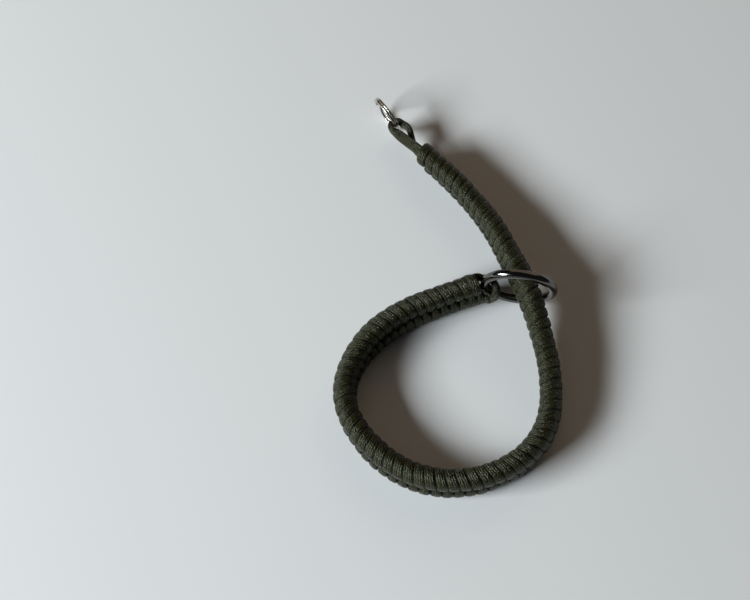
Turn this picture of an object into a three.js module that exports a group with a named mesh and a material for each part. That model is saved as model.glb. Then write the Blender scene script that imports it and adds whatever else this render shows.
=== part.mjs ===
// Camera hand strap: a band of cord woven in a figure of eight over two core strands, standing on its edge.
// One end of the band hooks on a camera's lug by a split ring. The other end holds an O-ring, and the band
// runs through that ring, so the wrist loop draws tight. Millimetres, +Z up, lying on the plane z = 0.
import * as THREE from 'three';

const DEGREE = Math.PI / 180;
const TOUCH_GAP = 0.3; // clearance between pieces that touch on the real strap

// The band's section: two lobes, one above the other, each a core strand inside its wraps.
const LOBE_RADIUS = 4.8;
const LOBE_RISE = 3.7; // from the band's middle to a lobe's centre
const LOBE_SIDES = 7; // facets round each lobe
const RIB_PITCH = 4.4; // one turn of the working cord
const RIB_DEPTH = 0.8; // from a rib's crest to the groove beside it
const RIB_FLAT = 0.5; // share of the pitch that the crest takes
const RIB_SHEAR = 0.3; // how far a rib slides on along the band for each millimetre to its right
const RIB_RAMP = 8.8; // the ribs start square to the band at its ends, and slant fully from here on
const END_WRAP_SWELL = 0.3; // the first and the last wraps stand a little proud
const PATH_STEP = 0.5; // the path is summed in steps of this length

// The band's path from the split ring's end, as stretches that each bend evenly. Length in millimetres,
// turn in degrees (negative to the right). Lift is how far the band's underside is off the surface at the
// stretch's end, and lean how many degrees its top edge tips to the left there.
const BAND_START = new THREE.Vector2(21.0, 69.6);
const BAND_HEADING = -41.5;
const BAND_START_LEAN = -17;
const BAND_STRETCHES = [
  { length: 30, turn: -11.5, lift: 0.0, lean: -13 },
  { length: 30, turn: -15, lift: 2.6, lean: -6 },
  { length: 23, turn: -2, lift: 6.2, lean: -3 },
  { length: 32, turn: -10, lift: 2.2, lean: -11 },
  { length: 20, turn: -14.5, lift: 0.0, lean: -7 },
  { length: 28, turn: -44.5, lift: 0.0, lean: 3 },
  { length: 35, turn: -44, lift: 0.0, lean: -2 },
  { length: 25, turn: -34, lift: 0.0, lean: 0 },
  { length: 25, turn: -27, lift: 0.0, lean: 5 },
  { length: 20, turn: -44, lift: 0.0, lean: 4 },
  { length: 25, turn: -31.5, lift: 0.0, lean: 14 },
  { length: 22, turn: -19, lift: 0.0, lean: 13 },
  { length: 25, turn: -4, lift: 1.0, lean: 10 },
];

// Flattened cord of the two loops, wider than thick.
const CORD_WIDTH = 4.8;
const CORD_THICKNESS = 2.9;
const CORD_SIDES = 10;
const CORD_STEPS = 3; // facets from one waypoint to the next

// O-ring, standing across the band.
const SLIDE_BORE = 25;
const SLIDE_WIRE = 4;
const SLIDE_WIRE_SIDES = 12;
const SLIDE_STEPS = 40; // facets round the ring
const SLIDE_CENTRE = new THREE.Vector2(61.6, -1.5);
const SLIDE_YAW = 8.5; // its plane turned from the X axis
const SLIDE_TIP = 5; // its top tips towards -Y
const END_LOOP_HEIGHT = 9.5; // where the end loop holds its wire

// Split ring, standing in line with the band's end.
const SPLIT_OUTER_RADIUS = 9;
const SPLIT_WIRE_WIDTH = 1.5; // across the ring's plane, from bore to rim
const SPLIT_TURN_HEIGHT = 1.0;
const SPLIT_TURN_GAP = 0.12; // between its two turns
const SPLIT_STEP_SPAN = 55; // degrees in which the wire steps from one turn to the other
const SPLIT_STEPS = 64; // facets along its wire
const SPLIT_CENTRE = new THREE.Vector2(5.6, 90.2);
const SPLIT_FIRST_END = 245; // where its wire begins, in degrees round from the eye loop
const SPLIT_YAW = -55; // direction from its centre to the eye loop
const SPLIT_LEAN = 13; // its top tips to the right of that direction

const COLOURS = { cord: 0x3b3f30, core: 0x34382b, blackNickel: 0x3a3a3c, nickel: 0xb9b4aa };

const UP = new THREE.Vector3(0, 0, 1);

// A closed solid through rings of points: a skin between neighbours, and a fan over each end unless the
// last ring joins the first.
function solidThroughRings(rings, joined = false) {
  const sides = rings[0].length;
  const points = rings.flat();
  const faces = [];
  const last = joined ? rings.length : rings.length - 1;
  for (let ring = 0; ring < last; ring += 1) {
    const here = ring * sides;
    const next = ((ring + 1) % rings.length) * sides;
    for (let side = 0; side < sides; side += 1) {
      const after = (side + 1) % sides;
      faces.push(here + side, here + after, next + after);
      faces.push(here + side, next + after, next + side);
    }
  }
  if (!joined) {
    const addFan = (ring, facesForward) => {
      const centre = points.length;
      const total = new THREE.Vector3();
      rings[ring].forEach((point) => total.add(point));
      points.push(total.divideScalar(sides));
      for (let side = 0; side < sides; side += 1) {
        const a = ring * sides + side;
        const b = ring * sides + ((side + 1) % sides);
        faces.push(...(facesForward ? [centre, a, b] : [centre, b, a]));
      }
    };
    addFan(0, false);
    addFan(rings.length - 1, true);
  }
  const geometry = new THREE.BufferGeometry().setFromPoints(points);
  geometry.setIndex(faces);
  geometry.computeVertexNormals();
  return geometry;
}

function makePiece(name, geometry, colour, roughness, metalness) {
  const material = new THREE.MeshStandardMaterial({ color: colour, roughness, metalness });
  const piece = new THREE.Mesh(geometry, material);
  piece.name = name;
  return piece;
}

// Smooth change from one value to the next along a stretch.
function ease(from, to, share) {
  return THREE.MathUtils.lerp(from, to, share * share * (3 - 2 * share));
}

// The band's path: position, heading, lift and lean at every step.
function tracePath() {
  const steps = [];
  let x = BAND_START.x;
  let y = BAND_START.y;
  let heading = BAND_HEADING * DEGREE;
  let travelled = 0;
  let before = { lift: 0, lean: BAND_START_LEAN };
  for (const stretch of BAND_STRETCHES) {
    const count = Math.round(stretch.length / PATH_STEP);
    const turnStep = (stretch.turn * DEGREE) / count;
    for (let step = 0; step < count; step += 1) {
      const share = step / count;
      const lift = ease(before.lift, stretch.lift, share);
      const lean = ease(before.lean, stretch.lean, share);
      steps.push({ travelled, x, y, heading, lift, lean });
      x += PATH_STEP * Math.cos(heading + turnStep / 2);
      y += PATH_STEP * Math.sin(heading + turnStep / 2);
      heading += turnStep;
      travelled += PATH_STEP;
    }
    before = stretch;
  }
  steps.push({ travelled, x, y, heading, lift: before.lift, lean: before.lean });
  return steps;
}

const PATH = tracePath();
const BAND_LENGTH = PATH[PATH.length - 1].travelled;

// The path's values at any length along it, carried on straight past either end.
function pathAt(length) {
  const place = THREE.MathUtils.clamp(length / PATH_STEP, 0, PATH.length - 2);
  const index = Math.floor(place);
  const share = length / PATH_STEP - index;
  const [from, to] = [PATH[index], PATH[index + 1]];
  const mix = (key) => THREE.MathUtils.lerp(from[key], to[key], share);
  return { x: mix('x'), y: mix('y'), heading: mix('heading'), lift: mix('lift'), lean: mix('lean') };
}

// Axes of the band's section at a length along it: along the band, to its left, and up its middle.
function bandFrame(length) {
  const { x, y, heading, lift, lean } = pathAt(length);
  const along = new THREE.Vector3(Math.cos(heading), Math.sin(heading), 0);
  const left = new THREE.Vector3(-Math.sin(heading), Math.cos(heading), 0);
  const rise = UP.clone().applyAxisAngle(along, -lean * DEGREE);
  left.applyAxisAngle(along, -lean * DEGREE);
  return { origin: new THREE.Vector3(x, y, lift), along, left, rise };
}

// Outline of the band's section, from the left-hand neck up over the top lobe and back under the bottom
// one. Progress is how far the working cord has gone round its figure of eight at that point, 0 to 1.
function bandOutline() {
  const neckAngle = Math.asin(LOBE_RISE / LOBE_RADIUS);
  const sweep = (Math.PI + 2 * neckAngle) / LOBE_SIDES;
  const outline = [];
  for (const lobe of [1, -1]) {
    for (let side = 0; side < LOBE_SIDES; side += 1) {
      const angle = -neckAngle + side * sweep;
      const share = side / LOBE_SIDES;
      outline.push({
        lobe,
        across: lobe * Math.cos(angle),
        up: lobe * Math.sin(angle),
        progress: lobe > 0 ? 0.5 * share : 1 - 0.5 * share,
        neck: side === 0,
      });
    }
  }
  return outline;
}

const OUTLINE = bandOutline();

// How far a lobe stands proud of the rest of the band at its first and last wraps.
function endSwell(length) {
  return Math.min(length, BAND_LENGTH - length) < RIB_PITCH ? END_WRAP_SWELL : 0;
}

// One ring of the band's skin. Each point of it slides along the band by its progress and by how far to
// the right it is, so that the ribs slant and those of the two lobes pass each other half a pitch apart.
function bandRing(length, depth) {
  const slant = Math.min(length, BAND_LENGTH - length, RIB_RAMP) / RIB_RAMP;
  return OUTLINE.map(({ lobe, across, up, progress, neck }) => {
    const gained = neck ? 0 : (progress - 0.5) * RIB_PITCH;
    const slide = slant * (gained - RIB_SHEAR * across * LOBE_RADIUS);
    const { origin, left, rise } = bandFrame(length + slide);
    const radius = neck ? LOBE_RADIUS : LOBE_RADIUS - depth + endSwell(length);
    const point = left.multiplyScalar(across * radius);
    return point.addScaledVector(rise, up * radius + lobe * LOBE_RISE).add(origin);
  });
}

// Height of the band's middle over its underside, at the lean that it has there.
function middleHeight(length) {
  const { left, rise } = bandFrame(length);
  const radius = LOBE_RADIUS + endSwell(length);
  const heights = OUTLINE.map(({ lobe, across, up }) => {
    return across * radius * left.z + (up * radius + lobe * LOBE_RISE) * rise.z;
  });
  return -Math.min(...heights);
}

function makeWovenBody() {
  const rings = [];
  const ribs = Math.round(BAND_LENGTH / RIB_PITCH);
  const pitch = BAND_LENGTH / ribs;
  for (let rib = 0; rib < ribs; rib += 1) {
    const start = rib * pitch;
    rings.push({ length: start, depth: rib === 0 ? 0 : RIB_DEPTH });
    rings.push({ length: start + (0.5 - RIB_FLAT / 2) * pitch, depth: 0 });
    rings.push({ length: start + (0.5 + RIB_FLAT / 2) * pitch, depth: 0 });
  }
  rings.push({ length: BAND_LENGTH, depth: 0 });
  const skin = rings.map(({ length, depth }) => {
    const height = middleHeight(length);
    return bandRing(length, depth).map((point) => point.addScaledVector(UP, height));
  });
  return makePiece('woven_body', solidThroughRings(skin), COLOURS.cord, 0.85, 0);
}

// A point of the band's section, given by its height up the section from the band's middle.
function corePoint(length, height) {
  const { origin, rise } = bandFrame(length);
  return origin.addScaledVector(UP, middleHeight(length)).addScaledVector(rise, height);
}

// Flattened cord through the waypoints. Each has its place and the direction of the cord's broad side.
function sweepCord(waypoints) {
  const route = new THREE.CatmullRomCurve3(waypoints.map(({ at }) => at));
  const broadSide = new THREE.CatmullRomCurve3(waypoints.map(({ flat }) => flat));
  const count = (waypoints.length - 1) * CORD_STEPS;
  const rings = [];
  for (let step = 0; step <= count; step += 1) {
    const share = step / count;
    const middle = route.getPoint(share);
    const along = route.getTangent(share);
    const flat = broadSide.getPoint(share);
    flat.addScaledVector(along, -flat.dot(along)).normalize();
    const thick = along.clone().cross(flat);
    const ring = [];
    for (let side = 0; side < CORD_SIDES; side += 1) {
      const angle = (side / CORD_SIDES) * 2 * Math.PI;
      const point = middle.clone().addScaledVector(flat, (Math.cos(angle) * CORD_WIDTH) / 2);
      ring.push(point.addScaledVector(thick, (Math.sin(angle) * CORD_THICKNESS) / 2));
    }
    rings.push(ring);
  }
  return solidThroughRings(rings);
}

// A bight of cord round a wire: out of the band by one core, round the wire and back to the other core.
// Wire gives its centre, its own direction, the way from it towards the band, its half thickness, and the
// side of it that the upper strand passes on: 1 for the band's left, -1 for its right.
function makeBight(name, bandEnd, wire, upperFlat, lowerFlat) {
  const outward = bandEnd > 0 ? 1 : -1;
  const { along, left } = bandFrame(bandEnd);
  const exit = (level, reach) => (
    corePoint(bandEnd, level * LOBE_RISE).addScaledVector(along, outward * (TOUCH_GAP + reach))
      .addScaledVector(left, level * wire.exitAside)
  );
  const offset = wire.halfThickness + TOUCH_GAP + CORD_THICKNESS / 2;
  const upright = wire.direction;
  const side = wire.towardBand.clone().cross(upright).normalize();
  side.multiplyScalar(Math.sign(side.dot(left)) * wire.upperSide);
  const round = (angle, reach = 0) => (
    wire.centre.clone().addScaledVector(wire.towardBand, -Math.cos(angle * DEGREE) * offset)
      .addScaledVector(side, Math.sin(angle * DEGREE) * offset)
      .addScaledVector(upright, Math.sin(angle * DEGREE) * wire.strandRise)
      .addScaledVector(along, -outward * reach)
  );
  const between = (flat) => upright.clone().lerp(flat, 0.5);
  const waypoints = [
    { at: exit(1, 0), flat: upperFlat },
    { at: exit(1, wire.exitReach), flat: upperFlat },
    { at: round(90, wire.besideReach), flat: between(upperFlat) },
    ...[90, 45, 0, -45, -90].map((angle) => ({ at: round(angle), flat: upright })),
    { at: round(-90, wire.besideReach), flat: between(lowerFlat) },
    { at: exit(-1, wire.exitReach), flat: lowerFlat },
    { at: exit(-1, 0), flat: lowerFlat },
  ];
  return makePiece(name, sweepCord(waypoints), COLOURS.core, 0.85, 0);
}

// Axes of the O-ring: across its plane, along its plane to the right, and up its plane.
function slideFrame() {
  const right = new THREE.Vector3(Math.cos(SLIDE_YAW * DEGREE), -Math.sin(SLIDE_YAW * DEGREE), 0);
  const rise = UP.clone().applyAxisAngle(right, SLIDE_TIP * DEGREE);
  const middleRadius = (SLIDE_BORE + SLIDE_WIRE) / 2;
  const height = middleRadius * rise.z + SLIDE_WIRE / 2;
  const centre = new THREE.Vector3(SLIDE_CENTRE.x, SLIDE_CENTRE.y, height);
  return { right, rise, normal: right.clone().cross(rise), middleRadius, centre };
}

function makeSlideRing() {
  const { right, rise, normal, middleRadius, centre } = slideFrame();
  const geometry = new THREE.TorusGeometry(middleRadius, SLIDE_WIRE / 2, SLIDE_WIRE_SIDES, SLIDE_STEPS);
  const piece = makePiece('slide_ring', geometry, COLOURS.blackNickel, 0.25, 1);
  piece.quaternion.setFromRotationMatrix(new THREE.Matrix4().makeBasis(right, rise, normal));
  piece.position.copy(centre);
  return piece;
}

// The O-ring's wire where the end loop holds it, low on its left side.
function slideWire() {
  const { right, rise, middleRadius, centre } = slideFrame();
  const below = Math.asin((centre.z - END_LOOP_HEIGHT) / middleRadius);
  const towardBand = right.clone().multiplyScalar(-Math.cos(below)).addScaledVector(rise, -Math.sin(below));
  return {
    centre: centre.clone().addScaledVector(towardBand, middleRadius),
    direction: right.clone().multiplyScalar(-Math.sin(below)).addScaledVector(rise, Math.cos(below)),
    towardBand,
    halfThickness: SLIDE_WIRE / 2,
    upperSide: 1,
    exitAside: 3.2,
    exitReach: 0.6,
    besideReach: 0.8,
    strandRise: 2.7,
  };
}

// Axes of the split ring: towards the eye loop, up its plane, and across its plane.
function splitFrame() {
  const toEye = new THREE.Vector3(Math.cos(SPLIT_YAW * DEGREE), Math.sin(SPLIT_YAW * DEGREE), 0);
  const rise = UP.clone().applyAxisAngle(toEye, SPLIT_LEAN * DEGREE);
  const normal = toEye.clone().cross(rise);
  const halfHeight = SPLIT_TURN_HEIGHT + SPLIT_TURN_GAP / 2;
  const height = SPLIT_OUTER_RADIUS * rise.z + halfHeight * Math.abs(normal.z);
  return { toEye, rise, normal, centre: new THREE.Vector3(SPLIT_CENTRE.x, SPLIT_CENTRE.y, height) };
}

// The split ring's wire goes round almost twice, and steps across to its second turn at one place.
function makeSplitRing() {
  const { toEye, rise, normal, centre } = splitFrame();
  const turnPitch = SPLIT_TURN_HEIGHT + SPLIT_TURN_GAP;
  const stepStart = 360 - SPLIT_STEP_SPAN;
  const rings = [];
  for (let step = 0; step <= SPLIT_STEPS; step += 1) {
    const turned = (step / SPLIT_STEPS) * (720 - SPLIT_STEP_SPAN);
    const share = THREE.MathUtils.clamp((turned - stepStart) / SPLIT_STEP_SPAN, 0, 1);
    const low = ease(-turnPitch / 2, turnPitch / 2, share) - SPLIT_TURN_HEIGHT / 2;
    const angle = (SPLIT_FIRST_END + turned) * DEGREE;
    const corner = (radius, height) => (
      new THREE.Vector3(radius * Math.cos(angle), radius * Math.sin(angle), height)
    );
    const [outer, inner] = [SPLIT_OUTER_RADIUS, SPLIT_OUTER_RADIUS - SPLIT_WIRE_WIDTH];
    const high = low + SPLIT_TURN_HEIGHT;
    rings.push([corner(outer, high), corner(outer, low), corner(inner, low), corner(inner, high)]);
  }
  const piece = makePiece('split_ring', solidThroughRings(rings), COLOURS.nickel, 0.25, 1);
  piece.quaternion.setFromRotationMatrix(new THREE.Matrix4().makeBasis(toEye, rise, normal));
  piece.position.copy(centre);
  return piece;
}

// The split ring's wire on the side of the eye loop.
function splitWire() {
  const { toEye, rise, centre } = splitFrame();
  const middleRadius = SPLIT_OUTER_RADIUS - SPLIT_WIRE_WIDTH / 2;
  return {
    centre: centre.clone().addScaledVector(toEye, middleRadius),
    direction: rise,
    towardBand: toEye,
    halfThickness: SPLIT_TURN_HEIGHT + SPLIT_TURN_GAP,
    upperSide: -1,
    exitAside: 0,
    exitReach: 3.5,
    besideReach: 3.5,
    strandRise: 0.8,
  };
}

function makeStrap() {
  const strap = new THREE.Group();
  const [slide, split] = [slideWire(), splitWire()];
  strap.add(
    makeSplitRing(),
    makeBight('eye_loop', 0, split, bandFrame(0).left, split.direction),
    makeWovenBody(),
    makeBight('end_loop', BAND_LENGTH, slide, slide.direction, UP),
    makeSlideRing(),
  );
  const box = new THREE.Box3().setFromObject(strap, true);
  strap.position.set(-(box.min.x + box.max.x) / 2, -(box.min.y + box.max.y) / 2, -box.min.z);
  return strap;
}

export default makeStrap();
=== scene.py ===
"""Camera hand strap of woven cord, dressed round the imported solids.

One flattened working cord goes in a figure of eight round two core strands, which makes the band. The core
strands come out at both ends as bights, one through a split ring and one round the O-ring that the band
runs through. Sizes and paths are in millimetres until add_mesh makes them metres; materials, lights and
lengths on UV maps are in metres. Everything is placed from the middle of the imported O-ring, in the frame of
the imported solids.
"""
from collections import namedtuple

import bpy
import numpy as np
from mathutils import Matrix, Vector


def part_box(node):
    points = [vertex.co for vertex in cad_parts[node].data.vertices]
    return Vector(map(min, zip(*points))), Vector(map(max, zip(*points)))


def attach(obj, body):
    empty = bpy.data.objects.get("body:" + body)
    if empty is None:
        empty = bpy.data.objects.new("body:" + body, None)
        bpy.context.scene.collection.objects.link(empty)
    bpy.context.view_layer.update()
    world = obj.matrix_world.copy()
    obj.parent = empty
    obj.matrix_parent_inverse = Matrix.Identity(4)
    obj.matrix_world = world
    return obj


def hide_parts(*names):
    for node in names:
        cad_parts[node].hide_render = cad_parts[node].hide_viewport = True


MM = 0.001
UP = np.array([0.0, 0.0, 1.0])

# ------------------------------------------------------------------ sizes, in millimetres and degrees

LOBE_RADIUS = 4.8  # outside of the wraps, round each core strand
LOBE_RISE = 3.7  # from the band's middle to each core strand
RIB_PITCH = 4.4  # one turn of the working cord, before whole turns are fitted to the band
RIB_SHEAR = 0.3  # how far a rib slides on along the band for each millimetre to its right
RIB_RAMP = 8.8  # the ribs start square to the band at its ends, and slant fully from here on
END_WRAP_SWELL = 0.3  # the first and the last wraps stand a little proud
SWELL_HOLDS = 0.9  # pitches from an end that keep the whole swell
SWELL_FADES = 0.6  # pitches after those in which it goes
END_OVERHANG = 2.8  # the last wrap of the lower lobe goes on past the band's end, up to the O-ring
ARC_SHARE = 0.925  # share of each half turn that goes round a core strand, before it crosses to the other

WRAP_THICKNESS = 2.5  # the working cord, flattened as it lies on the core
WRAP_WIDTH = 4.6
WRAP_ROUNDNESS = 2.6  # power of the flattened oval, 2 being an ellipse
CORE_RADIUS = 2.4
CORE_INSET = 1.0  # how far inside the band's ends the core strands stop

PINCH_STARTS = 95.0  # from the top of a lobe, where the working cord starts to be pinched
PINCH_SPAN = 55.0  # how much further round the pinch is whole
UPPER_PINCH = 0.30  # share of its width that the cord loses there, on each lobe
LOWER_PINCH = 0.44
PINCH_SWELLS = 0.25  # share of its thickness that it gains there
BEND_SQUEEZE = 0.8  # power by which a bend narrows the ribs on its inside and widens those outside

WEAVE_SEED = 41
STRAY_ALONG = 0.12  # spreads of the small errors of a hand weave, drawn anew each half turn
STRAY_OUT = 0.07  # away from the core strand
STRAY_SIZE = 0.02  # share of the cord's width and thickness
STRAY_ROLL = 2.5  # of the cord on its own middle
STEADY_TURNS = 0.5  # turns at each end in which its stray along the band dies away

# A stretch of the band turns evenly, left being positive, and eases to its own lift and lean by its end.
Stretch = namedtuple("Stretch", "length turn lift lean")
BAND_STRETCHES = [
    Stretch(length=30, turn=-11.5, lift=0.0, lean=-13),
    Stretch(length=30, turn=-15, lift=2.6, lean=-6),
    Stretch(length=23, turn=-2, lift=6.2, lean=-3),
    Stretch(length=32, turn=-10, lift=2.2, lean=-11),
    Stretch(length=20, turn=-14.5, lift=0.0, lean=-7),
    Stretch(length=28, turn=-44.5, lift=0.0, lean=3),
    Stretch(length=35, turn=-44, lift=0.0, lean=-2),
    Stretch(length=25, turn=-34, lift=0.0, lean=0),
    Stretch(length=25, turn=-27, lift=0.0, lean=5),
    Stretch(length=20, turn=-44, lift=0.0, lean=4),
    Stretch(length=25, turn=-31.5, lift=0.0, lean=14),
    Stretch(length=22, turn=-19, lift=0.0, lean=13),
    Stretch(length=25, turn=-4, lift=1.0, lean=10),
]
BAND_STEP = 0.5  # between the stations at which the path is worked out
BAND_HEADING = -41.5  # at its start, from +X
BAND_START_LEAN = -17
BAND_START_FROM_SLIDE = np.array([-40.6, 71.1])  # in plan, from the O-ring's centre
BAND_LENGTH = sum(stretch.length for stretch in BAND_STRETCHES)

LOOP_CORD_WIDTH = 4.8  # the core strands flatten where they come out of the band
LOOP_CORD_THICKNESS = 2.9
LOOP_CORD_ROUNDNESS = 2.3
TAIL_START = 7.0  # how deep in the band's end a loop's cord starts, before the touch gap comes off
TAIL_SECOND = 3.0  # its second waypoint, still in the band
TOUCH_GAP = 0.3  # between a loop's cord and its ring, and added to each reach past the band's end

# How a loop goes from the band to its ring: the side of the wire that its upper strand takes (1 the band's
# left, -1 its right), how far each strand parts sideways, how far out it leaves the band, how far short of
# the wire it comes alongside, and how far up the wire the upper strand lies and down it the lower.
Route = namedtuple("Route", "upper_side parting leaves alongside climb")
EYE_ROUTE = Route(upper_side=-1.0, parting=0.0, leaves=3.5, alongside=3.5, climb=0.8)
END_ROUTE = Route(upper_side=1.0, parting=3.2, leaves=0.6, alongside=0.8, climb=2.7)

SLIDE_BORE = 25.0
SLIDE_WIRE = 4.0
SLIDE_YAW = 8.5  # clockwise from above
SLIDE_TIP = 5.0  # from upright, its top towards -Y
END_LOOP_HEIGHT = 9.5  # over the surface, where the end loop goes round the O-ring

SPLIT_OUTER_RADIUS = 9.0
SPLIT_WIRE_WIDTH = 1.5
SPLIT_WIRE_ROUNDNESS = 5.0  # a flat wire with rounded edges
SPLIT_TURN_HEIGHT = 1.0
SPLIT_TURN_GAP = 0.12
SPLIT_STEP_SPAN = 55.0  # how much of a turn the wire takes to step across to the other turn
SPLIT_FIRST_END = 245.0  # where the wire starts, from the eye loop's side
SPLIT_YAW = -55.0  # the way to the eye loop, from +X
SPLIT_LEAN = 13.0  # from upright, by the right-hand rule about the way to the eye loop
SPLIT_CENTRE_FROM_SLIDE = np.array([-56.0, 91.7])

Grid = namedtuple("Grid", "stations sides")  # how finely a piece is made, along its path and round it
WRAP_GRID = Grid(stations=60, sides=16)  # stations for each turn
CORE_GRID = Grid(stations=180, sides=12)
LOOP_GRID = Grid(stations=16, sides=28)  # stations from each waypoint to the next
SLIDE_GRID = Grid(stations=176, sides=40)
SPLIT_GRID = Grid(stations=300, sides=24)


# ------------------------------------------------------------------ small helpers

def unit(vectors):
    """Each vector over its own length."""
    return vectors / np.linalg.norm(vectors, axis=-1, keepdims=True)


def square_to(vectors, forward):
    """Each vector less its part along the unit forward, brought back to unit length."""
    return unit(vectors - forward * np.sum(vectors * forward, axis=1, keepdims=True))


def ease(share):
    """Goes from 0 to 1 as 3 s^2 - 2 s^3, and stays there outside that range."""
    share = np.clip(share, 0.0, 1.0)
    return share * share * (3.0 - 2.0 * share)


def turned(vector, axis, degrees):
    """The vector turned about a unit axis by the right-hand rule, by Rodrigues' formula."""
    angle = np.radians(degrees)
    across = np.cross(axis, vector)
    return vector * np.cos(angle) + across * np.sin(angle) + axis * (axis @ vector) * (1 - np.cos(angle))


def signed_power(values, power):
    """The value's size to a power, with its own sign: makes a circle's sine and cosine a flatter oval."""
    return np.sign(values) * np.abs(values) ** power


def running_length(points):
    """Length of the path of chords from the first point to each point."""
    return np.append(0.0, np.cumsum(np.linalg.norm(np.diff(points, axis=0), axis=1)))


# ------------------------------------------------------------------ meshes carried along a path

def side_faces(stations, sides, along, around, closed):
    """Quads between neighbouring stations, as vertex numbers, and the UV of each quad's four corners."""
    side = np.arange(sides)
    after = (side + 1) % sides
    last = stations if closed else stations - 1
    here = (np.arange(last) * sides)[:, None]
    there = ((np.arange(last) + 1) % stations * sides)[:, None]
    quads = np.stack([here + side, here + after, there + after, there + side], axis=-1).reshape(-1, 4)
    u_here = along[:last]
    u_there = np.append(along[1:], 2.0 * along[-1] - along[-2])[:last]
    v_here, v_after = around[:-1], around[1:]
    corner_u = np.stack([u_here, u_here, u_there, u_there], axis=-1)[:, None, :]
    corner_v = np.stack([v_here, v_after, v_after, v_here], axis=-1)
    corners = [np.broadcast_to(corner, (last, sides, 4)) for corner in (corner_u, corner_v)]
    return quads, np.stack(corners, axis=-1).reshape(-1, 2)


def end_fans(stations, sides, along):
    """Triangles that close both ends, as vertex numbers, and the UV of their corners.

    Each goes from an end's middle to two neighbours on its rim. The two middles are numbered straight after
    the grid's own points.
    """
    side = np.arange(sides)
    after = (side + 1) % sides
    rim = (stations - 1) * sides
    start_middle = np.full(sides, stations * sides)
    start_fan = np.stack([start_middle, after, side], axis=-1)
    end_fan = np.stack([start_middle + 1, rim + side, rim + after], axis=-1)
    fan_u = np.repeat([along[0], along[-1]], sides * 3)
    fan_v = np.tile([0.5, 0.4, 0.6], sides * 2)
    return np.vstack([start_fan, end_fan]), np.stack([fan_u, fan_v], axis=-1)


def add_mesh(name, points, along, around, closed):
    """Mesh over a grid of points (stations along a path, sides round it), with its own UV map.

    U is the length along the path and V the share of the rim. The sides always close on themselves. A
    closed path joins its last station to its first; an open one is closed by a fan at each end.
    """
    stations, sides, _ = points.shape
    vertices = points.reshape(-1, 3)
    faces, corners = side_faces(stations, sides, along, around, closed)
    loops = faces.reshape(-1)
    totals = np.full(len(faces), 4)
    if not closed:
        fans, fan_corners = end_fans(stations, sides, along)
        vertices = np.vstack([vertices, points[[0, -1]].mean(axis=1)])
        loops = np.append(loops, fans)
        totals = np.append(totals, np.full(len(fans), 3))
        corners = np.vstack([corners, fan_corners])
    starts = np.cumsum(totals) - totals
    mesh = bpy.data.meshes.new(name)
    mesh.vertices.add(len(vertices))
    mesh.vertices.foreach_set("co", (vertices * MM).astype(np.float32).ravel())
    mesh.loops.add(len(loops))
    mesh.loops.foreach_set("vertex_index", loops.astype(np.int32))
    mesh.polygons.add(len(starts))
    mesh.polygons.foreach_set("loop_start", starts.astype(np.int32))
    mesh.polygons.foreach_set("loop_total", totals.astype(np.int32))
    mesh.polygons.foreach_set("use_smooth", np.ones(len(starts), dtype=bool))
    layer = mesh.uv_layers.new(name="cord_uv")
    layer.data.foreach_set("uv", corners.astype(np.float32).ravel())
    mesh.update(calc_edges=True)
    mesh.validate()
    piece = bpy.data.objects.new(name, mesh)
    bpy.context.collection.objects.link(piece)
    return piece


def oval(sides, roundness):
    """Unit oval: cos a ^ 2/r and sin a ^ 2/r, with the first point given once more at the end."""
    angle = np.arange(sides + 1) / sides * 2.0 * np.pi
    x = signed_power(np.cos(angle), 2.0 / roundness)
    y = signed_power(np.sin(angle), 2.0 / roundness)
    return x, y


def rim_shares(x, y, width, thickness):
    """Running share of an oval's rim, by summed chords, for UVs that keep their scale round it."""
    chords = np.hypot(np.diff(x) * width, np.diff(y) * thickness)
    return np.append(0.0, np.cumsum(chords)) / chords.sum()


def swept(name, middle, broad, thin, widths, thicknesses, sides, roundness=2.0, closed=False):
    """Oval carried along a path: middle + broad * width/2 * x + thin * thickness/2 * y at each station."""
    x, y = oval(sides, roundness)
    around = rim_shares(x, y, np.mean(widths), np.mean(thicknesses))
    ring = (broad[:, None, :] * (x[:-1, None] * (widths / 2.0)[:, None, None])
            + thin[:, None, :] * (y[:-1, None] * (thicknesses / 2.0)[:, None, None]))
    return add_mesh(name, middle[:, None, :] + ring, running_length(middle) * MM, around, closed)


# ------------------------------------------------------------------ the band's path

def trace_band(slide_centre):
    """Stations along the band: the heading is a running sum of the turns, and the place a running sum of
    the step along the heading at each step's middle. Lift and lean ease from one stretch to the next."""
    turn, lift, lean = [], [], []
    before = Stretch(length=0, turn=0, lift=0.0, lean=BAND_START_LEAN)
    for stretch in BAND_STRETCHES:
        count = round(stretch.length / BAND_STEP)
        share = ease(np.arange(count) / count)
        turn.append(np.full(count, np.radians(stretch.turn) / count))
        lift.append(before.lift + (stretch.lift - before.lift) * share)
        lean.append(before.lean + (stretch.lean - before.lean) * share)
        before = stretch
    turn = np.concatenate(turn)
    heading = np.radians(BAND_HEADING) + np.append(0.0, np.cumsum(turn))
    middle = heading[:-1] + turn / 2.0
    start = slide_centre[:2] + BAND_START_FROM_SLIDE
    return {
        "s": np.arange(len(heading)) * BAND_STEP,
        "x": start[0] + np.append(0.0, np.cumsum(np.cos(middle) * BAND_STEP)),
        "y": start[1] + np.append(0.0, np.cumsum(np.sin(middle) * BAND_STEP)),
        "heading": heading,
        "bend": np.append(turn, turn[-1]) / BAND_STEP,
        "lift": np.append(np.concatenate(lift), before.lift),
        "lean": np.append(np.concatenate(lean), before.lean),
    }


def end_swell(s):
    """Swell of the first and last wraps: whole at the ends, gone one pitch and a half further in."""
    inward = np.minimum(s, BAND_LENGTH - s)
    return END_WRAP_SWELL * (1.0 - ease((inward / RIB_PITCH - SWELL_HOLDS) / SWELL_FADES))


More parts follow.
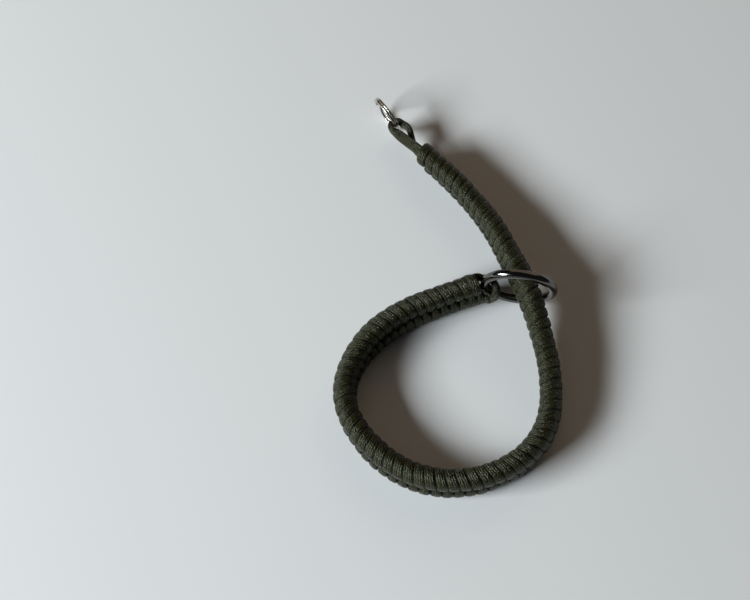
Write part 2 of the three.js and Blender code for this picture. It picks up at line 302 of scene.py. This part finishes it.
def band_frames(band, s):
    """The band at each length s: its axes along, to its left and up its section, its middle, and its bend.

    The middle's height is the lift, the lobe's radius with its swell, and the lobe's rise times the cosine
    of the lean. Past either end the middle goes straight on.
    """
    value = {key: np.interp(s, band["s"], band[key]) for key in band}
    flat = np.zeros_like(value["heading"])
    along = np.stack([np.cos(value["heading"]), np.sin(value["heading"]), flat], axis=-1)
    level = np.stack([-np.sin(value["heading"]), np.cos(value["heading"]), flat], axis=-1)
    lean = np.radians(value["lean"])[..., None]
    left = level * np.cos(lean) - UP * np.sin(lean)
    rise = UP * np.cos(lean) + level * np.sin(lean)
    height = value["lift"] + LOBE_RADIUS + end_swell(s) + LOBE_RISE * np.cos(np.radians(value["lean"]))
    past = s - np.clip(s, 0.0, BAND_LENGTH)
    middle = np.stack([value["x"], value["y"], height], axis=-1) + along * past[..., None]
    return along, left, rise, middle, value["bend"]


# ------------------------------------------------------------------ the band

def figure_of_eight(turns):
    """Place in the band's section after that many turns, and the angle from the top of the lobe it is on.

    Each half turn is an arc round one core strand, from one crossing tangent to the other, and then the
    straight crossing to the other strand. The arc's radius is r, and the crossing line from the section's
    middle touches the arc at b = acos(r / rise) from the lobe's foot.
    """
    radius = LOBE_RADIUS - WRAP_THICKNESS / 2.0
    foot = np.arccos(min(radius / LOBE_RISE, 1.0))
    halves = turns * 2.0
    half = np.floor(halves)
    share = halves - half
    lobe = np.where(half % 2 == 0, 1.0, -1.0)
    angle = -np.pi / 2.0 + foot + (2.0 * np.pi - 2.0 * foot) * np.clip(share / ARC_SHARE, 0.0, 1.0)
    crossing = np.clip((share - ARC_SHARE) / (1.0 - ARC_SHARE), 0.0, 1.0)
    across = radius * np.cos(angle) * (1.0 - 2.0 * crossing)
    up = lobe * (LOBE_RISE + radius * np.sin(angle)) * (1.0 - 2.0 * crossing)
    return across, up, lobe, angle - np.pi / 2.0


def wander(rng, turns, spread):
    """Random change along the working cord, straight from one half turn's value to the next one's."""
    knots = np.arange(0, int(np.ceil(turns[-1] * 2)) + 2)
    return np.interp(turns * 2.0, knots, rng.normal(0.0, spread, len(knots)))


def make_working_cord(band):
    """The working cord: its middle is at length s = pitch * turns along the band and goes round the figure
    of eight in the section. It is broad along the band on the lobes, and pinched where it dives between the
    core strands, so that the wraps of the two lobes pass each other half a pitch apart. Each rib slides
    along the band by the shear times its place across it, and narrows by the cosine of its slant."""
    rng = np.random.default_rng(WEAVE_SEED)
    rib_count = round(BAND_LENGTH / RIB_PITCH)
    pitch = BAND_LENGTH / rib_count
    turns = np.arange(rib_count * WRAP_GRID.stations + 1) / WRAP_GRID.stations
    across, up, lobe, from_top = figure_of_eight(turns)

    free = ease(np.minimum(turns, rib_count - turns) / STEADY_TURNS)
    s = pitch * turns + wander(rng, turns, STRAY_ALONG) * free
    s = 0.5 * WRAP_WIDTH + (s / BAND_LENGTH) * (BAND_LENGTH + END_OVERHANG - WRAP_WIDTH)
    s = s - RIB_SHEAR * across * np.clip(np.minimum(s, BAND_LENGTH - s) / RIB_RAMP, 0.0, 1.0)
    swell = end_swell(s) + wander(rng, turns, STRAY_OUT)
    scale = 1.0 + swell / LOBE_RADIUS
    along, left, rise, middle, bend = band_frames(band, s)
    core_up = lobe * LOBE_RISE
    offset = left * (across * scale)[:, None] + rise * (core_up + (up - core_up) * scale)[:, None]
    centre = middle + offset
    forward = unit(np.gradient(centre, axis=0))

    pinch = ease((np.abs(from_top) - np.radians(PINCH_STARTS)) / np.radians(PINCH_SPAN))
    narrowed = 1.0 - np.where(lobe > 0, UPPER_PINCH, LOWER_PINCH) * pinch
    squeeze = (1.0 - across * bend) ** BEND_SQUEEZE
    lay = np.sqrt(1.0 - np.sum(along * forward, axis=1) ** 2)
    widths = WRAP_WIDTH * lay * narrowed * squeeze * (1.0 + wander(rng, turns, STRAY_SIZE))
    thicknesses = WRAP_THICKNESS * (1.0 + PINCH_SWELLS * pinch) * (1.0 + wander(rng, turns, STRAY_SIZE))

    broad = square_to(along, forward)
    thin = np.cross(forward, broad)
    roll = np.radians(wander(rng, turns, STRAY_ROLL))[:, None]
    broad, thin = broad * np.cos(roll) + thin * np.sin(roll), thin * np.cos(roll) - broad * np.sin(roll)
    return swept("working_cord", centre, broad, thin, widths, thicknesses, WRAP_GRID.sides, WRAP_ROUNDNESS)


def make_core_strands(band):
    """The two core strands inside the band, as plain tubes round middle + rise * lobe's rise for the upper
    one and middle - rise * lobe's rise for the lower."""
    s = np.linspace(CORE_INSET, BAND_LENGTH - CORE_INSET, CORE_GRID.stations)
    along, left, rise, middle, _ = band_frames(band, s)
    sizes = np.full(len(s), 2.0 * CORE_RADIUS)
    strands = []
    for name, side in (("upper_core", 1.0), ("lower_core", -1.0)):
        centre = middle + rise * side * LOBE_RISE
        strands.append(swept(name, centre, left, np.cross(along, left), sizes, sizes, CORE_GRID.sides))
    return strands


# ------------------------------------------------------------------ the two rings

# A ring's wire where a loop goes round it: its middle, the way out from the ring's centre, the way that the
# wire runs, and the room that it needs on each side of its middle.
Wire = namedtuple("Wire", "centre outward direction half")


def slide_axes():
    """O-ring's axes: to the right in its plane, up its plane, and across it; and its middle radius."""
    yaw = np.radians(SLIDE_YAW)
    right = np.array([np.cos(yaw), -np.sin(yaw), 0.0])
    rise = turned(UP, right, SLIDE_TIP)
    return right, rise, np.cross(right, rise), (SLIDE_BORE + SLIDE_WIRE) / 2.0


def slide_wire(slide_centre):
    """The O-ring's wire at about the end loop's height, where its angle below the ring's middle is
    asin((middle's height - loop's height) / radius)."""
    right, rise, _, radius = slide_axes()
    below = np.arcsin((slide_centre[2] - END_LOOP_HEIGHT) / radius)
    outward = -right * np.cos(below) - rise * np.sin(below)
    direction = rise * np.cos(below) - right * np.sin(below)
    return Wire(slide_centre + outward * radius, outward, direction, SLIDE_WIRE / 2.0)


def make_slide_ring(slide_centre):
    """Torus: centre + (R + r cos b)(cos a, sin a) in the ring's plane + r sin b across it."""
    right, rise, normal, radius = slide_axes()
    angle = np.arange(SLIDE_GRID.stations) / SLIDE_GRID.stations * 2.0 * np.pi
    outward = np.cos(angle)[:, None] * right + np.sin(angle)[:, None] * rise
    middle = slide_centre + outward * radius
    across = np.broadcast_to(normal, outward.shape)
    sizes = np.full(len(angle), SLIDE_WIRE)
    return swept("o_ring", middle, outward, -across, sizes, sizes, SLIDE_GRID.sides, closed=True)


def split_axes(slide_centre):
    """Split ring's axes: towards the eye loop, up its plane, and across it; its centre, at the height that
    rests its lowest edge on the surface; and its middle radius."""
    yaw = np.radians(SPLIT_YAW)
    to_eye = np.array([np.cos(yaw), np.sin(yaw), 0.0])
    rise = turned(UP, to_eye, SPLIT_LEAN)
    normal = np.cross(to_eye, rise)
    half_height = SPLIT_TURN_HEIGHT + SPLIT_TURN_GAP / 2.0
    height = SPLIT_OUTER_RADIUS * rise[2] + half_height * abs(normal[2])
    plan = slide_centre[:2] + SPLIT_CENTRE_FROM_SLIDE
    return to_eye, rise, normal, np.append(plan, height), SPLIT_OUTER_RADIUS - SPLIT_WIRE_WIDTH / 2.0


def split_wire(slide_centre):
    """The split ring's two turns of wire on the side of the eye loop: each side needs a turn and the gap."""
    to_eye, rise, _, centre, radius = split_axes(slide_centre)
    return Wire(centre + to_eye * radius, to_eye, rise, SPLIT_TURN_HEIGHT + SPLIT_TURN_GAP)


def make_split_ring(slide_centre):
    """Wire of rounded rectangular section carried nearly twice round: middle radius times (cos a, sin a) in
    the ring's plane, and across it a height that eases from one turn to the other in one short span."""
    to_eye, rise, normal, centre, radius = split_axes(slide_centre)
    turned_by = np.linspace(0.0, 720.0 - SPLIT_STEP_SPAN, SPLIT_GRID.stations)
    step = ease((turned_by - (360.0 - SPLIT_STEP_SPAN)) / SPLIT_STEP_SPAN)
    height = (SPLIT_TURN_HEIGHT + SPLIT_TURN_GAP) * (step - 0.5)
    angle = np.radians(SPLIT_FIRST_END + turned_by)
    outward = np.cos(angle)[:, None] * to_eye + np.sin(angle)[:, None] * rise
    middle = centre + outward * radius + height[:, None] * normal
    thin = np.cross(unit(np.gradient(middle, axis=0)), outward)
    full = np.ones(len(middle))
    return swept("split_wire", middle, outward, thin, SPLIT_WIRE_WIDTH * full, SPLIT_TURN_HEIGHT * full,
                 SPLIT_GRID.sides, SPLIT_WIRE_ROUNDNESS)


# ------------------------------------------------------------------ the loops of core cord

def between(t, start, end, left, right):
    """Straight blend from left at t = start to right at t = end."""
    return (left * (end - t) + right * (t - start)) / (end - start)


def through_waypoints(points, steps_between):
    """Centripetal Catmull-Rom curve through the points, by Barry and Goldman's pyramid of blends.

    The first three values of a point are its place, and they alone set the knots. Any further values are
    carried along by the same blends.
    """
    points = np.array(points)
    ghost_start, ghost_end = 2.0 * points[0] - points[1], 2.0 * points[-1] - points[-2]
    padded = np.vstack([ghost_start, points, ghost_end])
    share = (np.arange(steps_between) / steps_between)[:, None]
    pieces = []
    for index in range(len(points) - 1):
        p = padded[index:index + 4]
        knots = np.append(0.0, np.cumsum(np.sqrt(np.linalg.norm(np.diff(p[:, :3], axis=0), axis=1))))
        t = knots[1] + share * (knots[2] - knots[1])
        first, second, third = (between(t, knots[k], knots[k + 1], p[k], p[k + 1]) for k in range(3))
        lower = between(t, knots[0], knots[2], first, second)
        upper = between(t, knots[1], knots[3], second, third)
        pieces.append(between(t, knots[1], knots[2], lower, upper))
    return np.vstack([*pieces, points[-1:]])


def make_bight(name, band, band_end, wire, route, upper_flat, lower_flat):
    """Bight of core cord: out of the band by the upper core strand, round the wire, and back to the lower.

    Half a circle of waypoints goes round the wire, and the cord's broad side follows the wire there. At the
    band, each strand's broad side follows the flat given for it.
    """
    ahead = 1.0 if band_end > 0 else -1.0
    along, left, rise, middle, _ = (rows[0] for rows in band_frames(band, np.array([band_end])))
    offset = wire.half + TOUCH_GAP + LOOP_CORD_THICKNESS / 2.0
    side = unit(np.cross(wire.outward, wire.direction))
    side = side * np.sign(side @ left) * route.upper_side

    def leaving(level, reach):
        """Waypoint on a strand's own line at that reach past the band's end; level is 1 up, -1 down."""
        aside = left * level * route.parting
        return middle + rise * level * LOBE_RISE + aside + along * ahead * (TOUCH_GAP + reach)

    def round_wire(degrees, short=0.0):
        """Waypoint at that angle round the wire, from 90 by the upper strand to -90 by the lower."""
        angle = np.radians(degrees)
        return (wire.centre - wire.outward * np.cos(angle) * offset
                + side * np.sin(angle) * offset + wire.direction * np.sin(angle) * route.climb
                - along * ahead * short)

    def strand(level, flat):
        """Waypoints from inside the band to beside the wire, each with the way its broad side lies."""
        reaches = (-TAIL_START, -TAIL_SECOND, route.leaves)
        rows = [(leaving(level, reach), flat) for reach in reaches]
        return rows + [(round_wire(90 * level, route.alongside), (wire.direction + flat) / 2.0)]

    rows = strand(1, upper_flat)
    rows += [(round_wire(degrees), wire.direction) for degrees in (90, 45, 0, -45, -90)]
    rows += reversed(strand(-1, lower_flat))
    curve = through_waypoints([np.append(at, flat) for at, flat in rows], LOOP_GRID.stations)
    centre, flat = curve[:, :3], curve[:, 3:]
    forward = unit(np.gradient(centre, axis=0))
    broad = square_to(flat, forward)
    full = np.ones(len(centre))
    return swept(name, centre, broad, np.cross(forward, broad), LOOP_CORD_WIDTH * full,
                 LOOP_CORD_THICKNESS * full, LOOP_GRID.sides, LOOP_CORD_ROUNDNESS)


# ------------------------------------------------------------------ shader groups

PLUMP_ACROSS = 0.6  # powers of a stitch's half sines, across and along it: the lower, the plumper
PLUMP_ALONG = 0.5
STITCH_DIP = 0.6  # share of the height lost between one stitch and the next in its column
GAP_STARTS, GAP_DEEPEST = 0.78, 0.32  # heights at which a gap, and its painted shade, starts and is deepest

SMUDGE_SCALE = 220.0  # of noise, for each metre
SMUDGE_STARTS, SMUDGE_WHOLE = 0.35, 0.75
SCRATCH_TURN = (0.3, 0.9, 0.5)
SCRATCH_SCALE = (900.0, 9000.0, 5000.0)  # unequal, which draws the noise out to fine lines
SCRATCH_STARTS, SCRATCH_WHOLE = 0.62, 0.74


class Sketch:
    """Short way to write nodes into a tree: each method but feed adds nodes, feeds their inputs and gives an
    output, and feed links a socket or sets a value."""

    def __init__(self, tree):
        self.tree = tree

    def node(self, kind, inputs, output=0, **settings):
        made = self.tree.nodes.new(kind)
        for key, value in settings.items():
            setattr(made, key, value)
        for socket, value in inputs.items():
            self.feed(made.inputs[socket], value)
        return made.outputs[output]

    def feed(self, socket, value):
        if isinstance(value, bpy.types.NodeSocket):
            self.tree.links.new(value, socket)
        else:
            socket.default_value = value

    def math(self, operation, first, second=0.0, third=0.0):
        return self.node("ShaderNodeMath", {0: first, 1: second, 2: third}, operation=operation)

    def blend(self, share, first, second):
        return self.node("ShaderNodeMix", {0: share, 6: first, 7: second}, output=2, data_type="RGBA")

    def noise(self, vector, scale, detail, roughness=0.5):
        inputs = {"Vector": vector, "Scale": scale, "Detail": detail, "Roughness": roughness}
        return self.node("ShaderNodeTexNoise", inputs)

    def remap(self, value, low, high, to_low=0.0, to_high=1.0):
        inputs = {0: value, 1: low, 2: high, 3: to_low, 4: to_high}
        return self.node("ShaderNodeMapRange", inputs)

    def half_sine(self, share, power):
        return self.math("POWER", self.math("SINE", self.math("MULTIPLY", share, np.pi)), power)


def new_group(name, inputs, outputs):
    """Empty shader group with those named sockets: each input is (name, kind, default)."""
    group = bpy.data.node_groups.new(name, "ShaderNodeTree")
    for label, kind, default in inputs:
        socket = group.interface.new_socket(label, in_out="INPUT", socket_type=kind)
        if default is not None:
            socket.default_value = default
    for label, kind in outputs:
        group.interface.new_socket(label, in_out="OUTPUT", socket_type=kind)
    entry = group.nodes.new("NodeGroupInput")
    leave = group.nodes.new("NodeGroupOutput")
    return group, Sketch(group), entry.outputs, leave.inputs


def make_braid_group():
    """Braided sheath, on a UV map of (metres along the cord, share of its rim).

    The rim is cut into columns of stitches. Each stitch is a half sine both ways, raised to a power that
    makes it plump, and it slants one way in even columns and the other way in odd ones, as a braid's do.
    A random share of its two coordinates is added, which tips each stitch its own way so that some glint.
    Stitch Shade is one random number for each stitch, and Gap goes from 0 to 1 where stitches meet; the
    cord's material paints shade in the gaps by it.
    """
    group, sketch, given, out = new_group(
        "braided sheath",
        [("UV", "NodeSocketVector", None), ("Columns", "NodeSocketFloat", 12.0),
         ("Stitch Length", "NodeSocketFloat", 0.0011), ("Slant", "NodeSocketFloat", 0.9),
         ("Tipping", "NodeSocketFloat", 1.7)],
        [("Height", "NodeSocketFloat"), ("Stitch Shade", "NodeSocketFloat"), ("Gap", "NodeSocketFloat")])
    place = sketch.node("ShaderNodeSeparateXYZ", {0: given["UV"]}).node.outputs
    column = sketch.math("MULTIPLY", place[1], given["Columns"])
    column_number = sketch.math("FLOOR", column)
    in_column = sketch.math("SUBTRACT", column, column_number)
    off_column = sketch.math("SUBTRACT", in_column, 0.5)
    odd = sketch.math("MODULO", column_number, 2.0)
    way = sketch.math("MULTIPLY_ADD", odd, -2.0, 1.0)
    lean = sketch.math("MULTIPLY", sketch.math("MULTIPLY", off_column, way), given["Slant"])
    stitch = sketch.math("ADD", sketch.math("DIVIDE", place[0], given["Stitch Length"]), lean)
    stitch_number = sketch.math("FLOOR", stitch)
    in_stitch = sketch.math("SUBTRACT", stitch, stitch_number)
    off_stitch = sketch.math("SUBTRACT", in_stitch, 0.5)
    across = sketch.half_sine(in_column, PLUMP_ACROSS)
    along = sketch.half_sine(in_stitch, PLUMP_ALONG)
    dipped = sketch.math("MULTIPLY_ADD", along, STITCH_DIP, 1.0 - STITCH_DIP)
    height = sketch.math("MULTIPLY", across, dipped)
    cell = sketch.node("ShaderNodeCombineXYZ", {0: column_number, 1: stitch_number})
    shade = sketch.node("ShaderNodeTexWhiteNoise", {"Vector": cell}, noise_dimensions="2D")
    centred = sketch.node("ShaderNodeVectorMath", {0: shade.node.outputs["Color"], 1: (0.5, 0.5, 0.5)},
                          operation="SUBTRACT")
    tips = sketch.node("ShaderNodeSeparateXYZ", {0: centred}).node.outputs
    tipped = sketch.math("MULTIPLY_ADD", tips[0], off_column, sketch.math("MULTIPLY", tips[1], off_stitch))
    sketch.feed(out["Height"], sketch.math("MULTIPLY_ADD", tipped, given["Tipping"], height))
    sketch.feed(out["Stitch Shade"], shade)
    sketch.feed(out["Gap"], sketch.remap(height, GAP_STARTS, GAP_DEEPEST))
    return group


def make_wear_group():
    """Handled metal, on Object coordinates: fine scratches from stretched noise, and soft smudges.

    Roughness adds up the two; Height is the scratches alone, cut inwards, and Tone the smudges alone.
    """
    group, sketch, given, out = new_group(
        "handled metal",
        [("Vector", "NodeSocketVector", None), ("Base Roughness", "NodeSocketFloat", 0.15),
         ("Smudges", "NodeSocketFloat", 0.1), ("Scratches", "NodeSocketFloat", 0.1)],
        [("Roughness", "NodeSocketFloat"), ("Height", "NodeSocketFloat"), ("Tone", "NodeSocketFloat")])
    clouds = sketch.noise(given["Vector"], SMUDGE_SCALE, detail=4.0)
    smudge = sketch.remap(clouds, SMUDGE_STARTS, SMUDGE_WHOLE)
    stretched = sketch.node("ShaderNodeMapping", {"Vector": given["Vector"], "Rotation": SCRATCH_TURN,
                                                  "Scale": SCRATCH_SCALE})
    streaks = sketch.noise(stretched, 1.0, detail=3.0, roughness=0.7)
    scratch = sketch.remap(streaks, SCRATCH_STARTS, SCRATCH_WHOLE)
    rough = sketch.math("MULTIPLY_ADD", smudge, given["Smudges"], given["Base Roughness"])
    sketch.feed(out["Roughness"], sketch.math("MULTIPLY_ADD", scratch, given["Scratches"], rough))
    sketch.feed(out["Height"], sketch.math("MULTIPLY", scratch, -1.0))
    sketch.feed(out["Tone"], smudge)
    return group


# ------------------------------------------------------------------ materials

PAINTED_SHADE_OLIVE = (0.0016, 0.0019, 0.0008, 1.0)  # painted shade between the stitches, and in the grooves where turns press together
WORKING_OLIVE = (0.0086, 0.0079, 0.0014, 1.0)
WORKING_OLIVE_PALEST = (0.028, 0.0255, 0.0054, 1.0)
CORE_OLIVE = (0.0070, 0.0064, 0.0012, 1.0)
CORE_OLIVE_PALEST = (0.021, 0.0191, 0.0040, 1.0)
NYLON_GLOSS = (0.88, 0.92, 0.70, 1.0)  # dyed fibres give their gloss a little of their own green
BLACK_NICKEL = (0.125, 0.120, 0.115, 1.0)
BLACK_NICKEL_SMUDGED = (0.17, 0.16, 0.145, 1.0)
NICKEL = (0.62, 0.59, 0.54, 1.0)
NICKEL_SMUDGED = (0.72, 0.68, 0.60, 1.0)

SIDE_STARTS, SIDE_DEEPEST = 0.70, 0.96  # |cos| round the rim where the painted shade of a side, where turns press together, starts and is deepest
MOTTLE_SCALE = 160.0
MOTTLE_STARTS, MOTTLE_WHOLE = 0.3, 0.7
FIBRE_SCALE = 9000.0
TONE_BY_STITCH, TONE_BY_MOTTLE = 0.45, 0.55  # shares of the tone that each stitch and the mottle decide
RUBBED_ROUGHNESS = 0.21  # of the smoothest stitch on a broad face
ROUGHER_BY_STITCH, ROUGHER_BY_MOTTLE, ROUGHER_BY_PRESSING = 0.18, 0.08, 0.45
FIBRE_RELIEF = 0.3  # of single fibres, as a share of a stitch's height
STITCH_HEIGHT = 0.00040
SCRATCH_DEPTH = 0.00002


def new_material(name):
    """Material whose tree has only a Principled BSDF and its output; gives it, a sketch and the shader."""
    material = bpy.data.materials.new(name)
    material.use_nodes = True
    return material, Sketch(material.node_tree), material.node_tree.nodes["Principled BSDF"]


def place_group(sketch, group, **inputs):
    """The group in a material's tree, with its inputs given by name; gives its outputs."""
    placed = sketch.tree.nodes.new("ShaderNodeGroup")
    placed.node_tree = group
    for label, value in inputs.items():
        sketch.feed(placed.inputs[label.replace("_", " ")], value)
    return placed.outputs


def cord_material(name, braid, base, palest, columns, stitch_length, side_shade):
    """Dyed nylon braid: each stitch has a tone from base to palest, by its own shade and by the mottle, and
    the gaps between stitches get painted shade in a deep olive.

    The cord's sides are where |cos(2 pi rim)| nears 1. There neighbouring turns press together, and by the
    side shade the braid gets painted shade in the grooves and is rough, while its broad faces are rubbed
    glossy. Fibres draw the gloss out across the cord, by a tangent along it and anisotropy turned a quarter
    of the way round.
    """
    material, sketch, shader = new_material(name)
    uv = sketch.node("ShaderNodeUVMap", {}, uv_map="cord_uv")
    place = sketch.node("ShaderNodeTexCoord", {}, output="Object")
    sheath = place_group(sketch, braid, UV=uv, Columns=columns, Stitch_Length=stitch_length)
    mottle = sketch.remap(sketch.noise(place, MOTTLE_SCALE, detail=3.0), MOTTLE_STARTS, MOTTLE_WHOLE)
    fibre = sketch.noise(place, FIBRE_SCALE, detail=2.0, roughness=0.7)
    rim = sketch.node("ShaderNodeSeparateXYZ", {0: uv}, output=1)
    sideways = sketch.math("ABSOLUTE", sketch.math("COSINE", sketch.math("MULTIPLY", rim, 2.0 * np.pi)))
    # mask of the sides where turns press together: painted shade there, and a rougher braid
    pressed_side_shade = sketch.remap(sideways, SIDE_STARTS, SIDE_DEEPEST, 0.0, side_shade)

    tone = sketch.math("MULTIPLY_ADD", sheath["Stitch Shade"], TONE_BY_STITCH,
                       sketch.math("MULTIPLY", mottle, TONE_BY_MOTTLE))
    dyed = sketch.blend(tone, base, palest)
    # painted shade: the gaps between stitches and the sides where turns press together go to the deep olive
    painted_shade = sketch.math("MAXIMUM", sheath["Gap"], pressed_side_shade)
    sketch.feed(shader.inputs["Base Color"], sketch.blend(painted_shade, dyed, PAINTED_SHADE_OLIVE))
    rough = sketch.math("MULTIPLY_ADD", sheath["Stitch Shade"], ROUGHER_BY_STITCH, RUBBED_ROUGHNESS)
    rough = sketch.math("MULTIPLY_ADD", mottle, ROUGHER_BY_MOTTLE, rough)
    rough = sketch.math("MULTIPLY_ADD", pressed_side_shade, ROUGHER_BY_PRESSING, rough)
    sketch.feed(shader.inputs["Roughness"], rough)
    relief = sketch.math("MULTIPLY_ADD", fibre, FIBRE_RELIEF, sheath["Height"])
    bump = sketch.node("ShaderNodeBump", {"Height": relief, "Strength": 1.0, "Distance": STITCH_HEIGHT})
    sketch.feed(shader.inputs["Normal"], bump)
    tangent = sketch.node("ShaderNodeTangent", {}, direction_type="UV_MAP", uv_map="cord_uv")
    sketch.feed(shader.inputs["Tangent"], tangent)
    uniform = {"Anisotropic": 0.9, "Anisotropic Rotation": 0.25, "Specular Tint": NYLON_GLOSS,
               "Sheen Weight": 0.03, "Sheen Roughness": 0.4, "Sheen Tint": NYLON_GLOSS}
    for label, value in uniform.items():
        sketch.feed(shader.inputs[label], value)
    return material


def metal_material(name, wear, colour, smudged_colour, roughness, smudges, scratches):
    """Plated metal with smudges and fine scratches; its tone shifts a little with the smudges."""
    material, sketch, shader = new_material(name)
    place = sketch.node("ShaderNodeTexCoord", {}, output="Object")
    handled = place_group(sketch, wear, Vector=place, Base_Roughness=roughness, Smudges=smudges,
                          Scratches=scratches)
    sketch.feed(shader.inputs["Base Color"], sketch.blend(handled["Tone"], colour, smudged_colour))
    sketch.feed(shader.inputs["Roughness"], handled["Roughness"])
    bump = sketch.node("ShaderNodeBump", {"Height": handled["Height"], "Strength": 0.2,
                                          "Distance": SCRATCH_DEPTH})
    sketch.feed(shader.inputs["Normal"], bump)
    sketch.feed(shader.inputs["Metallic"], 1.0)
    return material


def plain_material(name, colour, roughness):
    """Even colour for the floor."""
    material, sketch, shader = new_material(name)
    sketch.feed(shader.inputs["Base Color"], colour)
    sketch.feed(shader.inputs["Roughness"], roughness)
    return material


# ------------------------------------------------------------------ studio, in metres but for the camera

FLOOR_SIZE = 6.0
FLOOR_COLOUR = (0.72, 0.715, 0.71, 1.0)
FLOOR_ROUGHNESS = 0.8
SURROUND_COLOUR = (0.70, 0.72, 0.75, 1.0)
SURROUND_STRENGTH = 0.042

SoftBox = namedtuple("SoftBox", "name place width height power colour")
SOFT_BOXES = [
    SoftBox("window", place=(-1.75, -0.72, 0.98), width=1.15, height=0.62, power=80.0,
            colour=(0.88, 0.96, 1.0)),
    SoftBox("warm fill", place=(0.50, 1.48, 1.16), width=2.4, height=1.6, power=6.0,
            colour=(1.0, 0.74, 0.48)),
]
LIGHTS_AIM_FROM_CAMERA_AIM = (0.03, -0.02)

# The camera, in millimetres and degrees.
AIM_FROM_SLIDE = np.array([-61.6, 1.5])  # in plan, to where it looks on the floor
CAMERA_ELEVATION = 65.0
CAMERA_DISTANCE = 602.0
CAMERA_LENS = 65.8
CAMERA_FILM_WIDTH = 36.0


def add_soft_box(box, aim):
    """Rectangular light that points from its place at the aim."""
    light = bpy.data.lights.new(box.name, "AREA")
    light.shape = "RECTANGLE"
    light.size, light.size_y, light.energy, light.color = box.width, box.height, box.power, box.colour
    lamp = bpy.data.objects.new(box.name, light)
    bpy.context.collection.objects.link(lamp)
    lamp.location = Vector(box.place)
    lamp.rotation_euler = (Vector(aim) - Vector(box.place)).to_track_quat("-Z", "Y").to_euler()


def make_studio(aim):
    """Pale floor, a cool soft box on the left, a weak and larger warm one behind, and a dim surround."""
    bpy.ops.mesh.primitive_plane_add(size=FLOOR_SIZE, location=(aim[0], aim[1], 0.0))
    floor = bpy.context.active_object
    floor.name = "floor"
    floor.data.materials.append(plain_material("pale floor", FLOOR_COLOUR, FLOOR_ROUGHNESS))
    lights_aim = (aim[0] + LIGHTS_AIM_FROM_CAMERA_AIM[0], aim[1] + LIGHTS_AIM_FROM_CAMERA_AIM[1], 0.0)
    for box in SOFT_BOXES:
        add_soft_box(box, lights_aim)
    world = bpy.data.worlds.new("surround")
    world.use_nodes = True
    background = world.node_tree.nodes["Background"]
    background.inputs["Color"].default_value = SURROUND_COLOUR
    background.inputs["Strength"].default_value = SURROUND_STRENGTH
    bpy.context.scene.world = world
    bpy.context.scene.view_settings.view_transform = "Standard"


def make_camera(aim):
    """Camera over the viewer's side, looking down at the aim on the floor."""
    elevation = np.radians(CAMERA_ELEVATION)
    back = np.array([0.0, -np.cos(elevation), np.sin(elevation)])
    data = bpy.data.cameras.new("camera")
    data.lens, data.sensor_width = CAMERA_LENS, CAMERA_FILM_WIDTH
    camera = bpy.data.objects.new("camera", data)
    bpy.context.collection.objects.link(camera)
    camera.location = Vector(aim + back * CAMERA_DISTANCE * MM)
    camera.rotation_euler = Vector(-back).to_track_quat("-Z", "Y").to_euler()
    bpy.context.scene.camera = camera


# ------------------------------------------------------------------ the strap, dressed

def dress(pieces, material, slot, *nodes):
    """Gives pieces their material, has them ride on the one body, and stand for CAD nodes. The slot is not
    used.
    """
    for piece in pieces:
        piece.data.materials.append(material)
        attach(piece, "root")
        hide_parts(*nodes)


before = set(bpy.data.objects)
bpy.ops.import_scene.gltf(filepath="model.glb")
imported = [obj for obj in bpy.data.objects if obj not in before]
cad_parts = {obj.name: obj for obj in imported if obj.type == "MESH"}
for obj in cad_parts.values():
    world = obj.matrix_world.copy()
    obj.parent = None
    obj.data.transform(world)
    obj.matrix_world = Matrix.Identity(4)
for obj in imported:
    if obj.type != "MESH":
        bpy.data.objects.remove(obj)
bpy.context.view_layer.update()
ring_low, ring_high = (np.array(corner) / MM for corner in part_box("slide_ring"))
slide_centre = (ring_low + ring_high) / 2.0
band = trace_band(slide_centre)

braid_group = make_braid_group()
wear_group = make_wear_group()
working_finish = cord_material("olive working cord", braid_group, base=WORKING_OLIVE,
                               palest=WORKING_OLIVE_PALEST, columns=12.0, stitch_length=0.0013,
                               side_shade=0.85)
core_finish = cord_material("olive core cord", braid_group, base=CORE_OLIVE, palest=CORE_OLIVE_PALEST,
                            columns=14.0, stitch_length=0.0012, side_shade=0.3)
black_nickel = metal_material("black nickel", wear_group, BLACK_NICKEL, BLACK_NICKEL_SMUDGED,
                              roughness=0.08, smudges=0.06, scratches=0.12)
nickel = metal_material("nickel", wear_group, NICKEL, NICKEL_SMUDGED,
                        roughness=0.16, smudges=0.12, scratches=0.14)

dress([make_working_cord(band)], working_finish, "working_cord", "woven_body")
dress(make_core_strands(band), core_finish, "core_cord", "woven_body")
eye_wire = split_wire(slide_centre)
end_wire = slide_wire(slide_centre)
start_left = band_frames(band, np.array([0.0]))[1][0]
eye_cord = make_bight("eye_cord", band, 0.0, eye_wire, EYE_ROUTE, start_left, eye_wire.direction)
dress([eye_cord], core_finish, "core_cord", "eye_loop")
end_cord = make_bight("end_cord", band, BAND_LENGTH, end_wire, END_ROUTE, end_wire.direction, UP)
dress([end_cord], core_finish, "core_cord", "end_loop")
dress([make_slide_ring(slide_centre)], black_nickel, "black_nickel", "slide_ring")
dress([make_split_ring(slide_centre)], nickel, "nickel", "split_ring")

aim_point = np.append(slide_centre[:2] + AIM_FROM_SLIDE, 0.0) * MM
make_studio(aim_point)
make_camera(aim_point)
